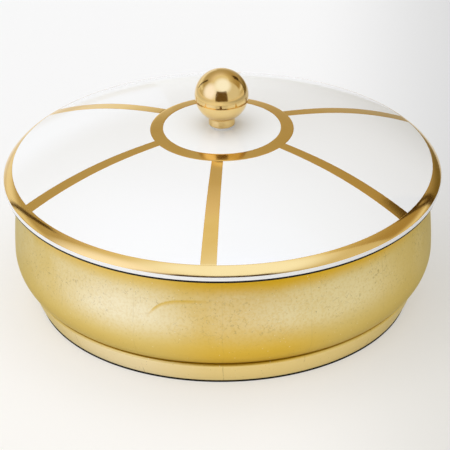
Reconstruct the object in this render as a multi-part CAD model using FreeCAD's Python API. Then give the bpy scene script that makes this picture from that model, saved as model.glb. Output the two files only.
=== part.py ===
"""Round lacquered box: a leafed bowl on a plinth, with a banded lid and a ball knob.

Millimetres, +Z up. The origin is the centre of the underside, on the surface the box stands on,
and one rib of the lid points to the front, along -Y.
"""

import FreeCAD
import Part

import math
import os

# Lid outline, the size that the rest of the box is set out from
lid_diameter = 200.0
lid_height = 24.9
lid_edge_height = 1.05
lid_edge_round = 1.6
lid_shoulder_radius = 11.5
lid_shoulder_angle = 56.0
lid_brow_angle = 25.5
lid_thickness = 6.0
lid_underside_step = 3.0

# Bowl, plinth and felt
lid_overhang = 6.8
belly_swell = 2.8
base_tuck = 7.8
bowl_height = 46.95
belly_height = 14.7
rim_width = 5.2
rim_round = 1.2
inner_corner_radius = 16.0
floor_lip = 1.5
plinth_ledge = 1.0
plinth_round = 1.0
plinth_taper = 3.8
plinth_swell = 0.35
foot_height = 10.25
foot_land = 7.5
foot_ledge = 5.0
base_panel_thickness = 5.0
base_panel_clearance = 0.1
felt_thickness = 1.05
felt_inset = 0.1

# Ring under the lid, which sits on the rim and drops into the mouth
seat_flange_thickness = 1.25
seat_flange_inset = 0.5
spigot_depth = 6.0
spigot_wall = 3.4
spigot_clearance = 0.6
spigot_lead_in = 1.0

# Gold bands, let flush into the lid
band_depth = 0.6
white_edge = 1.45
rim_band_inset = 4.2
hub_band_inner_diameter = 53.4
hub_band_width = 5.9
rib_count = 6
rib_width_at_hub = 5.1
rib_width_at_rim = 7.1

# Knob and its fixing
ball_diameter = 24.4
collar_diameter = 12.0
collar_height = 4.1
collar_flare = 0.6
collar_round = 0.5
knob_pad_thickness = 0.7
knob_pad_inset = 0.35
screw_diameter = 4.0
screw_reach = 8.0
screw_hole_clearance = 0.3
thread_clearance = 0.05
thread_runout = 1.5
washer_diameter = 12.0
washer_thickness = 1.0
screw_head_diameter = 7.8
screw_head_height = 2.8
screw_head_round = 1.3
screw_slot_width = 1.1
screw_slot_depth = 1.3

# Radii that follow from those sizes
lid_radius = lid_diameter / 2
rim_radius = lid_radius - lid_overhang
belly_radius = rim_radius + belly_swell
bowl_base_radius = belly_radius - base_tuck
mouth_radius = rim_radius - rim_width
foot_top_radius = bowl_base_radius + plinth_ledge
foot_base_radius = foot_top_radius - plinth_taper
rebate_radius = foot_top_radius - foot_land
foot_inner_radius = rebate_radius - foot_ledge
spigot_radius = mouth_radius - spigot_clearance
spigot_inner_radius = spigot_radius - spigot_wall
hub_band_inner_radius = hub_band_inner_diameter / 2
hub_band_radius = hub_band_inner_radius + hub_band_width
rim_band_inner_radius = lid_radius - rim_band_inset
ball_radius = ball_diameter / 2
collar_radius = collar_diameter / 2
ball_seat_radius = collar_radius + collar_flare
screw_radius = screw_diameter / 2
screw_hole_radius = screw_radius + screw_hole_clearance
washer_radius = washer_diameter / 2

# Heights that follow from those sizes
foot_top = felt_thickness + foot_height
ledge_top = foot_top - base_panel_thickness
rim_top = foot_top + bowl_height
lid_land = rim_top + seat_flange_thickness
lid_crown = lid_land + lid_height
lid_hollow_foot = lid_land + lid_underside_step
lid_hollow_crown = lid_crown - lid_thickness
collar_base = lid_crown + knob_pad_thickness
ball_seat = collar_base + collar_height


class Outline:
    """Closed outline in the half plane of radius and height, made of lines and arcs."""

    def __init__(self, radius, height):
        self.start = (radius, height)
        self.here = self.start
        self.edges = []

    def line(self, radius, height):
        """Add a straight edge to a point."""
        there = (radius, height)
        self.edges.append(Part.LineSegment(point(*self.here), point(*there)).toShape())
        self.here = there
        return self

    def arc(self, middle, there):
        """Add an arc through a middle point to an end point."""
        self.edges.append(Part.Arc(point(*self.here), point(*middle), point(*there)).toShape())
        self.here = there
        return self

    def turned(self):
        """Close the outline and turn it a full turn about the Z axis."""
        self.line(*self.start)
        face = Part.Face(Part.Wire(self.edges))
        return face.revolve(point(0, 0), FreeCAD.Vector(0, 0, 1), 360)


def point(radius, height):
    """Point of the outline plane in space."""
    return FreeCAD.Vector(radius, 0, height)


def on_circle(centre, radius, angle):
    """Point of a circle in the outline plane, with the angle in radians from vertical."""
    return (centre[0] + radius * math.sin(angle), centre[1] + radius * math.cos(angle))


def bulge_radius(swell, height):
    """Radius of an arc that is upright at one end and leans in by swell over height."""
    return (height ** 2 + swell ** 2) / (2 * swell)


def disc(radius, bottom, top):
    """Upright cylinder on the axis."""
    return Part.makeCylinder(radius, top - bottom, point(0, bottom))


class LidCurve:
    """Outside of the lid: crown, brow, shoulder and edge arcs, each tangent to the next."""

    def __init__(self):
        self.brow = math.radians(lid_brow_angle)
        self.shoulder = math.radians(lid_shoulder_angle)
        self.edge_centre = (lid_radius - lid_edge_round, lid_land + lid_edge_height)
        shoulder_foot = on_circle(self.edge_centre, lid_edge_round, self.shoulder)
        self.shoulder_centre = on_circle(shoulder_foot, -lid_shoulder_radius, self.shoulder)
        end = on_circle(self.shoulder_centre, lid_shoulder_radius, self.brow)
        run = end[0]
        drop = lid_crown - end[1]
        cosine = math.cos(self.brow)
        along = run * (1 + cosine) + drop * math.sin(self.brow)
        spread = 2 * (1 - cosine)
        reach = (math.sqrt(along ** 2 + spread * (run ** 2 + drop ** 2)) - along) / spread
        self.join = math.atan2(drop - reach * math.sin(self.brow), run - reach - reach * cosine)
        self.crown_radius = reach / math.tan(self.join / 2)
        self.brow_radius = reach / math.tan((self.brow - self.join) / 2)
        self.crown_centre = (0, lid_crown - self.crown_radius)
        joint = on_circle(self.crown_centre, self.crown_radius, self.join)
        self.brow_centre = on_circle(joint, -self.brow_radius, self.join)

    def solid(self, depth):
        """Turn everything that lies deeper than depth under the outside, down to the lid's land."""
        crown = self.crown_radius - depth
        brow = self.brow_radius - depth
        shoulder = lid_shoulder_radius - depth
        edge = lid_edge_round - depth
        upright = math.pi / 2
        outline = Outline(0, lid_land)
        outline.line(lid_radius - depth, lid_land)
        outline.line(*on_circle(self.edge_centre, edge, upright))
        outline.arc(
            on_circle(self.edge_centre, edge, (self.shoulder + upright) / 2),
            on_circle(self.edge_centre, edge, self.shoulder),
        )
        outline.arc(
            on_circle(self.shoulder_centre, shoulder, (self.brow + self.shoulder) / 2),
            on_circle(self.shoulder_centre, shoulder, self.brow),
        )
        outline.arc(
            on_circle(self.brow_centre, brow, (self.brow + self.join) / 2),
            on_circle(self.brow_centre, brow, self.join),
        )
        outline.arc(on_circle(self.crown_centre, crown, self.join / 2), (0, lid_crown - depth))
        return outline.turned()


def lid_hollow_radius():
    """Radius of the sphere that hollows the lid from below."""
    return bulge_radius(lid_hollow_crown - lid_hollow_foot, spigot_inner_radius)


def lid_hollow():
    """Space under the lid: a short upright wall inside the spigot, then a shallow vault."""
    sphere = lid_hollow_radius()
    half_angle = math.asin(spigot_inner_radius / sphere) / 2
    outline = Outline(0, lid_land)
    outline.line(spigot_inner_radius, lid_land)
    outline.line(spigot_inner_radius, lid_hollow_foot)
    outline.arc(
        on_circle((0, lid_hollow_crown - sphere), sphere, half_angle),
        (0, lid_hollow_crown),
    )
    return outline.turned()


def rib_prism(index):
    """Tall wedge over one rib, from the axis side of the hub band to beyond the rim band."""
    taper = (rib_width_at_rim - rib_width_at_hub) / (rim_band_inner_radius - hub_band_radius)
    near = hub_band_inner_radius
    far = lid_radius
    half_near = (rib_width_at_hub + taper * (near - hub_band_radius)) / 2
    half_far = (rib_width_at_rim + taper * (far - rim_band_inner_radius)) / 2
    corners = [(near, -half_near), (far, -half_far), (far, half_far), (near, half_near)]
    outline = [FreeCAD.Vector(along, across, lid_land) for along, across in corners]
    face = Part.Face(Part.makePolygon(outline + outline[:1]))
    prism = face.extrude(FreeCAD.Vector(0, 0, lid_height))
    prism.rotate(point(0, 0), FreeCAD.Vector(0, 0, 1), 360 * index / rib_count - 90)
    return prism


def band_patterns():
    """Tall shapes that outline the bands in plan: rim, hub and ribs."""
    field = disc(rim_band_inner_radius, lid_land, lid_crown)
    rim = disc(lid_radius, lid_land + white_edge, lid_crown).cut(field)
    hub_disc = disc(hub_band_radius, lid_land, lid_crown)
    hub = hub_disc.cut(disc(hub_band_inner_radius, lid_land, lid_crown))
    ribs = [rib_prism(index).common(field).cut(hub_disc) for index in range(rib_count)]
    return {"lid_rim_band": [rim], "lid_hub_band": [hub], "lid_rib_bands": ribs}


def lid_pieces():
    """Lid shell with its recesses, and the bands that fill them flush."""
    curve = LidCurve()
    outside = curve.solid(0)
    core = curve.solid(band_depth)
    shell = outside.cut(lid_hollow())
    shell = shell.cut(disc(screw_hole_radius, lid_land, lid_crown))
    pieces = {}
    for name, patterns in band_patterns().items():
        recesses = [pattern.cut(core) for pattern in patterns]
        shell = shell.cut(recesses)
        bands = [outside.common(recess).Solids[0] for recess in recesses]
        pieces[name] = bands[0] if len(bands) == 1 else Part.makeCompound(bands)
    pieces["lid_shell"] = shell.Solids[0]
    return pieces


def lid_seat_ring():
    """Thin flange under the lid's land, with a spigot that drops into the mouth."""
    spigot_foot = rim_top - spigot_depth
    outline = Outline(spigot_inner_radius, spigot_foot)
    outline.line(spigot_radius - spigot_lead_in, spigot_foot)
    outline.line(spigot_radius, spigot_foot + spigot_lead_in)
    outline.line(spigot_radius, rim_top)
    outline.line(lid_radius - seat_flange_inset, rim_top)
    outline.line(lid_radius - seat_flange_inset, lid_land)
    outline.line(spigot_inner_radius, lid_land)
    return outline.turned()


def bowl_wall():
    """Bulging wall: a belly that tucks in to the plinth and a flank that leans in to the rim."""
    belly_line = foot_top + belly_height
    belly_arc = bulge_radius(base_tuck, belly_height)
    belly_centre = (belly_radius - belly_arc, belly_line)
    flank_height = bowl_height - belly_height
    flank_arc = bulge_radius(belly_swell, flank_height)
    flank_centre = (belly_radius - flank_arc, belly_line)
    upright = math.pi / 2
    belly_foot = upright + math.atan2(belly_height, bowl_base_radius - belly_centre[0])
    flank_top = upright - math.asin((flank_height - rim_round) / flank_arc)
    shoulder = on_circle(flank_centre, flank_arc, flank_top)
    rim_centre = (shoulder[0] - rim_round, rim_top - rim_round)
    corner_centre = (mouth_radius - inner_corner_radius, foot_top + floor_lip + inner_corner_radius)

    outline = Outline(corner_centre[0], foot_top)
    outline.line(bowl_base_radius, foot_top)
    outline.arc(
        on_circle(belly_centre, belly_arc, (belly_foot + upright) / 2),
        (belly_radius, belly_line),
    )
    outline.arc(on_circle(flank_centre, flank_arc, (upright + flank_top) / 2), shoulder)
    outline.arc(on_circle(rim_centre, rim_round, upright / 2), (rim_centre[0], rim_top))
    outline.line(mouth_radius, rim_top)
    outline.line(mouth_radius, corner_centre[1])
    outline.arc(
        on_circle(corner_centre, inner_corner_radius, 1.5 * upright),
        (corner_centre[0], foot_top + floor_lip),
    )
    return outline.turned()


def foot_ring():
    """Plinth under the bowl, tapering to the floor, with a ledge for the floor panel."""
    round_centre = (foot_top_radius - plinth_round, foot_top - plinth_round)
    middle = (
        (foot_base_radius + foot_top_radius) / 2 + plinth_swell,
        (felt_thickness + round_centre[1]) / 2,
    )
    outline = Outline(foot_inner_radius, felt_thickness)
    outline.line(foot_base_radius, felt_thickness)
    outline.arc(middle, (foot_top_radius, round_centre[1]))
    outline.arc(
        on_circle(round_centre, plinth_round, math.pi / 4),
        (round_centre[0], foot_top),
    )
    outline.line(rebate_radius, foot_top)
    outline.line(rebate_radius, ledge_top)
    outline.line(foot_inner_radius, ledge_top)
    return outline.turned()


def base_panel():
    """Floor of the box, let into the plinth flush with its top."""
    return disc(rebate_radius - base_panel_clearance, ledge_top, foot_top)


def base_felt():
    """Felt ring that the box stands on."""
    ring = disc(foot_base_radius - felt_inset, 0, felt_thickness)
    return ring.cut(disc(foot_inner_radius + felt_inset, 0, felt_thickness))


def knob_pad():
    """Pale washer that keeps the metal off the lacquer."""
    washer = disc(collar_radius - knob_pad_inset, lid_crown, collar_base)
    return washer.cut(disc(screw_hole_radius, lid_crown, collar_base))


def knob_collar():
    """Neck of the knob, rounded at the foot and flared at the top to the ball's flat."""
    slant = on_circle((ball_seat_radius, ball_seat - collar_flare), collar_flare, -math.pi / 4)
    round_centre = (collar_radius - collar_round, collar_base + collar_round)
    outline = Outline(screw_hole_radius, collar_base)
    outline.line(round_centre[0], collar_base)
    outline.arc(
        on_circle(round_centre, collar_round, 0.75 * math.pi),
        (collar_radius, round_centre[1]),
    )
    outline.line(collar_radius, ball_seat - collar_flare)
    outline.arc(slant, (ball_seat_radius, ball_seat))
    outline.line(screw_hole_radius, ball_seat)
    return outline.turned()


def knob_ball():
    """Ball with a flat under it and a tapped hole for the screw."""
    centre = ball_seat + math.sqrt(ball_radius ** 2 - ball_seat_radius ** 2)
    hole_radius = screw_radius + thread_clearance
    hole_top = ball_seat + screw_reach + thread_runout
    outline = Outline(hole_radius, ball_seat)
    outline.line(ball_seat_radius, ball_seat)
    outline.arc((ball_radius, centre), (0, centre + ball_radius))
    outline.line(0, hole_top)
    outline.line(hole_radius, hole_top)
    return outline.turned()


def washer_top():
    """Height at which a flat washer meets the vault of the lid with its outer edge."""
    sphere = lid_hollow_radius()
    return lid_hollow_crown - sphere + math.sqrt(sphere ** 2 - washer_radius ** 2)


def screw_washer():
    """Flat washer under the lid."""
    top = washer_top()
    washer = disc(washer_radius, top - washer_thickness, top)
    return washer.cut(disc(screw_hole_radius, top - washer_thickness, top))


def knob_screw():
    """Slotted pan head screw, from under the lid up into the ball."""
    head_top = washer_top() - washer_thickness
    head_radius = screw_head_diameter / 2
    head_foot = head_top - screw_head_height
    round_centre = (head_radius - screw_head_round, head_foot + screw_head_round)
    outline = Outline(0, head_foot)
    outline.line(round_centre[0], head_foot)
    outline.arc(
        on_circle(round_centre, screw_head_round, 0.75 * math.pi),
        (head_radius, round_centre[1]),
    )
    outline.line(head_radius, head_top)
    outline.line(screw_radius, head_top)
    outline.line(screw_radius, ball_seat + screw_reach)
    outline.line(0, ball_seat + screw_reach)
    slot = Part.makeBox(
        screw_head_diameter,
        screw_slot_width,
        screw_slot_depth,
        FreeCAD.Vector(-head_radius, -screw_slot_width / 2, head_foot),
    )
    return outline.turned().cut(slot).Solids[0]


def main():
    """Make every piece of the box and write each to its own file."""
    pieces = {
        "base_felt": base_felt(),
        "foot_ring": foot_ring(),
        "base_panel": base_panel(),
        "bowl_wall": bowl_wall(),
        "lid_seat_ring": lid_seat_ring(),
        "knob_pad": knob_pad(),
        "knob_collar": knob_collar(),
        "knob_ball": knob_ball(),
        "screw_washer": screw_washer(),
        "knob_screw": knob_screw(),
    }
    pieces.update(lid_pieces())
    os.makedirs("parts", exist_ok=True)
    for name, shape in pieces.items():
        print(name, "valid" if shape.isValid() else "NOT VALID", round(shape.Volume, 1), "mm3")
        shape.exportStep(f"parts/{name}.step")


main()
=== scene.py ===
"""Round lacquered box: a gold leafed bowl on a plinth, and a white banded lid with a ball knob.

Metres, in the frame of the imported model: +Z is up, the origin is under the middle of the box, and
one rib of the lid points to the front, along -Y.
"""

import logging
import math
from dataclasses import dataclass
from enum import Enum
from functools import reduce

import bmesh
import bpy
from mathutils import Matrix, Vector


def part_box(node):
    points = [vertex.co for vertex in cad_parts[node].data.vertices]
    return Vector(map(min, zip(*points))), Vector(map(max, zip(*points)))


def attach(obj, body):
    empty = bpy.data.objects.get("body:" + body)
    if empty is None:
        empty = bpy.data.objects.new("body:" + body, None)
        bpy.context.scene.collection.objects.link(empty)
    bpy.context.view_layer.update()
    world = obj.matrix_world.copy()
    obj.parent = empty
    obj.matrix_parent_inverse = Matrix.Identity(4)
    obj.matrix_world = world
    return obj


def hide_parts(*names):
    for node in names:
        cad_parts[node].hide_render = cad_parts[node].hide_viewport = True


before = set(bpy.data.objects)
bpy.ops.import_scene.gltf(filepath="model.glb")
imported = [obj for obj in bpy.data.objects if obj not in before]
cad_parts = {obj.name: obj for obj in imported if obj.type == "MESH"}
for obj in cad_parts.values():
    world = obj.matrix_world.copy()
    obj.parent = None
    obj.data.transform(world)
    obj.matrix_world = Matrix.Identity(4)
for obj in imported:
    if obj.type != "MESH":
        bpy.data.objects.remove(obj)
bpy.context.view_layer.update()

LOG = logging.getLogger("lacquered_box")
MM = 0.001
WHITE_EDGE = 1.7 * MM
TURN_STEPS = 256
MERGE_GAP = 1e-7
SMOOTH_ANGLE = math.radians(32.0)
IMAGE_SIZE = 450

Socket = bpy.types.NodeSocket
Colour = tuple[float, float, float, float]
Point = tuple[float, float]

NO_COLOUR: Colour = (0.0, 0.0, 0.0, 1.0)


class Body(Enum):
    """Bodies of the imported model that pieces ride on."""

    BOX = "box"
    LID = "lid"


class Lay(Enum):
    """Direction of the fine polishing marks on metal."""

    ROUND = "round"
    RADIAL = "radial"


# Drawing tools


class Turning:
    """Outline drawn in the plane of radius and height, then turned about the box's axis."""

    def __init__(self, radius: float, height: float) -> None:
        """Start the outline at a point.

        Args:
            radius: Distance from the axis.
            height: Height above the floor.
        """
        self.mesh = bmesh.new()
        self.start = self.mesh.verts.new((radius, 0.0, height))
        self.tip = self.start

    def line(self, radius: float, height: float, steps: int = 1) -> None:
        """Draw a straight stretch.

        Args:
            radius: Radius of its end.
            height: Height of its end.
            steps: Number of edges in it.
        """
        begin = self.tip.co.copy()
        end = Vector((radius, 0.0, height))
        for step in range(1, steps + 1):
            made = bmesh.ops.extrude_vert_indiv(self.mesh, verts=[self.tip])
            self.tip = made["verts"][0]
            self.tip.co = begin.lerp(end, step / steps)

    def arc(self, centre: Point, angle: float, steps: int) -> None:
        """Draw an arc by spinning the tip.

        Args:
            centre: Radius and height of the arc's centre.
            angle: Turn in radians, positive from upright towards the outside.
            steps: Number of edges in it.
        """
        made = bmesh.ops.spin(
            self.mesh,
            geom=[self.tip],
            cent=(centre[0], 0.0, centre[1]),
            axis=(0.0, 1.0, 0.0),
            angle=angle,
            steps=steps,
        )
        self.tip = next(part for part in made["geom_last"] if isinstance(part, bmesh.types.BMVert))

    def closed(self) -> "Turning":
        """Join the tip to the start."""
        self.mesh.edges.new((self.tip, self.start))
        return self

    def turned(self) -> bmesh.types.BMesh:
        """Turn the outline a full turn, with its seam and poles merged and its faces outwards.

        Returns:
            The mesh, which the outline no longer needs.
        """
        self.swept(0.0, math.tau, TURN_STEPS)
        bmesh.ops.remove_doubles(self.mesh, verts=self.mesh.verts, dist=MERGE_GAP)
        bmesh.ops.recalc_face_normals(self.mesh, faces=self.mesh.faces)
        return self.mesh

    def swept(self, begin: float, angle: float, steps: int) -> bmesh.types.BMesh:
        """Turn the outline through part of a turn.

        Args:
            begin: Angle about the axis at which it starts, in radians from +X.
            angle: Angle that it is turned through.
            steps: Number of faces round that turn.

        Returns:
            The mesh, which the outline no longer needs.
        """
        bmesh.ops.rotate(
            self.mesh,
            verts=self.mesh.verts,
            cent=(0.0, 0.0, 0.0),
            matrix=Matrix.Rotation(begin, 3, "Z"),
        )
        bmesh.ops.spin(
            self.mesh,
            geom=self.mesh.verts[:] + self.mesh.edges[:],
            cent=(0.0, 0.0, 0.0),
            axis=(0.0, 0.0, 1.0),
            angle=angle,
            steps=steps,
            use_merge=math.isclose(angle, math.tau),
        )
        return self.mesh


def on_circle(centre: Point, radius: float, angle: float) -> Point:
    """Point of a circle in the outline's plane.

    Args:
        centre: Radius and height of the circle's centre.
        radius: The circle's radius.
        angle: Angle from upright, positive towards the outside.

    Returns:
        Radius and height of the point.
    """
    return (centre[0] + radius * math.sin(angle), centre[1] + radius * math.cos(angle))


def bulge_radius(swell: float, height: float) -> float:
    """Radius of an arc that is upright at one end and leans in by swell over height."""
    return (height**2 + swell**2) / (2 * swell)


def ease_edges(mesh: bmesh.types.BMesh, width: float, sharpest: float = 40.0) -> None:
    """Bevel the sharp edges of a closed mesh.

    Args:
        mesh: Mesh to bevel.
        width: Width of the bevel.
        sharpest: Angle between faces, in degrees, from which an edge counts as sharp.
    """
    limit = math.radians(sharpest)
    sharp = [edge for edge in mesh.edges if edge.is_manifold and edge.calc_face_angle() > limit]
    bmesh.ops.bevel(
        mesh,
        geom=sharp,
        offset=width,
        offset_type="OFFSET",
        affect="EDGES",
        segments=3,
        profile=0.5,
        material=-1,
        clamp_overlap=True,
    )


def linked(
    name: str, mesh: bmesh.types.BMesh, *materials: bpy.types.Material
) -> bpy.types.Object:
    """Make an object from a mesh and link it to the scene.

    Args:
        name: Name of the object.
        mesh: Finished mesh, which is freed.
        materials: Materials in the order of the mesh's material indices.

    Returns:
        The object.
    """
    data = bpy.data.meshes.new(name)
    mesh.to_mesh(data)
    mesh.free()
    for material in materials:
        data.materials.append(material)
    made = bpy.data.objects.new(name, data)
    bpy.context.scene.collection.objects.link(made)
    return made


@dataclass(frozen=True)
class Seat:
    """Where a new piece belongs: its name, the body it rides on and what it stands for."""

    name: str
    body: Body
    node: str
    slot: str

    def place(self, mesh: bmesh.types.BMesh, *materials: bpy.types.Material) -> None:
        """Make the piece from its mesh and seat it.

        Args:
            mesh: Finished mesh, which is freed.
            materials: Materials in the order of the mesh's material indices.
        """
        piece = linked(self.name, mesh, *materials)
        piece.data.shade_smooth()
        piece.data.set_sharp_from_angle(angle=SMOOTH_ANGLE)
        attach(piece, self.body.value)
        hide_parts(self.node)
        LOG.info("%s: %d faces, rides on %s", self.name, len(piece.data.polygons), self.body.value)


# Node tools


@dataclass(frozen=True)
class Sector:
    """Soft sector round the box: its middle in degrees from the front, where it ends and is full."""

    middle: float
    end: float
    full: float


class Nodes:
    """Node tree of one finish, with short calls for the nodes that the finishes share."""

    def __init__(self, tree: bpy.types.NodeTree) -> None:
        """Start from an empty tree.

        Args:
            tree: Node tree of a material or a world.
        """
        self.tree = tree
        tree.nodes.clear()

    def add(self, kind: str, inputs: dict, **settings: object) -> bpy.types.Node:
        """Add a node.

        Args:
            kind: Blender's name for the node.
            inputs: Sockets or constants by the name or number of the input.
            settings: Properties of the node.

        Returns:
            The node.
        """
        node = self.tree.nodes.new(kind)
        for key, value in settings.items():
            setattr(node, key, value)
        for key, value in inputs.items():
            if isinstance(value, Socket):
                self.tree.links.new(value, node.inputs[key])
            else:
                node.inputs[key].default_value = value
        return node

    def surface(self, inputs: dict) -> None:
        """Add the main shader and the output, with the given inputs."""
        shader = self.add("ShaderNodeBsdfPrincipled", inputs)
        self.add("ShaderNodeOutputMaterial", {"Surface": shader.outputs[0]})

    def place(self) -> Socket:
        """Place on the piece, in metres."""
        return self.add("ShaderNodeTexCoord", {}).outputs["Object"]

    def math(self, operation: str, first: Socket | float, second: Socket | float = 0.0) -> Socket:
        """Result of a sum on one or two values."""
        return self.add("ShaderNodeMath", {0: first, 1: second}, operation=operation).outputs[0]

    def product(self, *values: Socket | float) -> Socket:
        """Product of two or more values."""
        return reduce(lambda made, value: self.math("MULTIPLY", made, value), values)

    def vector(self, operation: str, first: Socket, second: Socket | tuple) -> Socket:
        """Result of a sum on two vectors."""
        node = self.add("ShaderNodeVectorMath", {0: first, 1: second}, operation=operation)
        return node.outputs[0]

    def scaled(self, vector: Socket, scale: float) -> Socket:
        """Vector times a number."""
        node = self.add("ShaderNodeVectorMath", {0: vector, "Scale": scale}, operation="SCALE")
        return node.outputs[0]

    def length(self, vector: Socket) -> Socket:
        """Length of a vector."""
        return self.add("ShaderNodeVectorMath", {0: vector}, operation="LENGTH").outputs["Value"]

    def part(self, place: Socket, axis: str) -> Socket:
        """One of the X, Y and Z of a place."""
        return self.add("ShaderNodeSeparateXYZ", {0: place}).outputs[axis]

    def around(self, place: Socket) -> Socket:
        """Degrees round the axis from the front, positive to the right."""
        forward = self.math("MULTIPLY", self.part(place, "Y"), -1.0)
        return self.math("DEGREES", self.math("ARCTAN2", self.part(place, "X"), forward))

    def sector(self, around: Socket, sector: Sector) -> Socket:
        """Mask of a sector, from the degrees round the axis."""
        aside = self.math("ABSOLUTE", self.math("SUBTRACT", around, sector.middle))
        return self.step(aside, sector.end, sector.full)

    def step(self, value: Socket, low: float, high: float) -> Socket:
        """Smooth step of a value, 0 at low and 1 at high, where low may be the larger."""
        inputs = {"Value": value, "From Min": low, "From Max": high}
        return self.add(
            "ShaderNodeMapRange", inputs, interpolation_type="SMOOTHSTEP"
        ).outputs[0]

    def span(self, value: Socket, low: float, high: float) -> Socket:
        """Value from 0 to 1 spread over low to high."""
        inputs = {"Value": value, "To Min": low, "To Max": high}
        return self.add("ShaderNodeMapRange", inputs).outputs[0]

    def mix(self, factor: Socket | float, first: Socket | Colour, second: Socket | Colour) -> Socket:
        """Blend of two colours."""
        return self.add(
            "ShaderNodeMix", {0: factor, 6: first, 7: second}, data_type="RGBA"
        ).outputs[2]

    def noise(
        self, place: Socket, size: float, detail: float = 2.0, output: int | str = 0
    ) -> Socket:
        """Noise whose lumps are about one size across."""
        inputs = {"Vector": place, "Scale": 1.0 / size, "Detail": detail}
        return self.add("ShaderNodeTexNoise", inputs).outputs[output]

    def cells(self, place: Socket, size: float, feature: str) -> bpy.types.Node:
        """Cells about one size across."""
        inputs = {"Vector": place, "Scale": 1.0 / size}
        return self.add("ShaderNodeTexVoronoi", inputs, feature=feature)

    def bump(self, height: Socket, depth: float, strength: float = 1.0) -> Socket:
        """Normal of a surface with a relief of some depth."""
        inputs = {"Height": height, "Distance": depth, "Strength": strength}
        return self.add("ShaderNodeBump", inputs).outputs[0]

    def round_place(self) -> tuple[Socket, Socket, Socket]:
        """Place about the axis.

        Returns:
            Direction from the axis, distance from the axis, and height.
        """
        place = self.place()
        flat = self.vector("MULTIPLY", place, (1.0, 1.0, 0.0))
        direction = self.add("ShaderNodeVectorMath", {0: flat}, operation="NORMALIZE").outputs[0]
        return direction, self.length(flat), self.part(place, "Z")


# Finishes


@dataclass(frozen=True)
class Finish:
    """A finish that dresses pieces, built once under its name."""

    name: str

    def dress(self, nodes: Nodes) -> None:
        """Build the node tree, which each finish does in its own way."""
        raise NotImplementedError(self.name)

    def material(self) -> bpy.types.Material:
        """Find the material of the finish, or build it at the first call.

        Returns:
            The material.
        """
        label = f"{self.name}_finish"
        made = bpy.data.materials.get(label)
        if made is None:
            made = bpy.data.materials.new(label)
            made.use_nodes = True
            self.dress(Nodes(made.node_tree))
        return made


@dataclass(frozen=True)
class PalePatch:
    """Soft pale patch on the belly, a painted highlight at the front and worn leaf at the back: its
    place round the bowl, its reach and strength.
    """

    around: float
    height: float
    width: float
    rise: float
    strength: float


@dataclass(frozen=True)
class Specks:
    """Pattern of scattered specks: their spacing, radius, share of the places, and its own shift."""

    spacing: float
    radius: float
    share: float
    shift: tuple[float, float, float] = (0.0, 0.0, 0.0)


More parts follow.
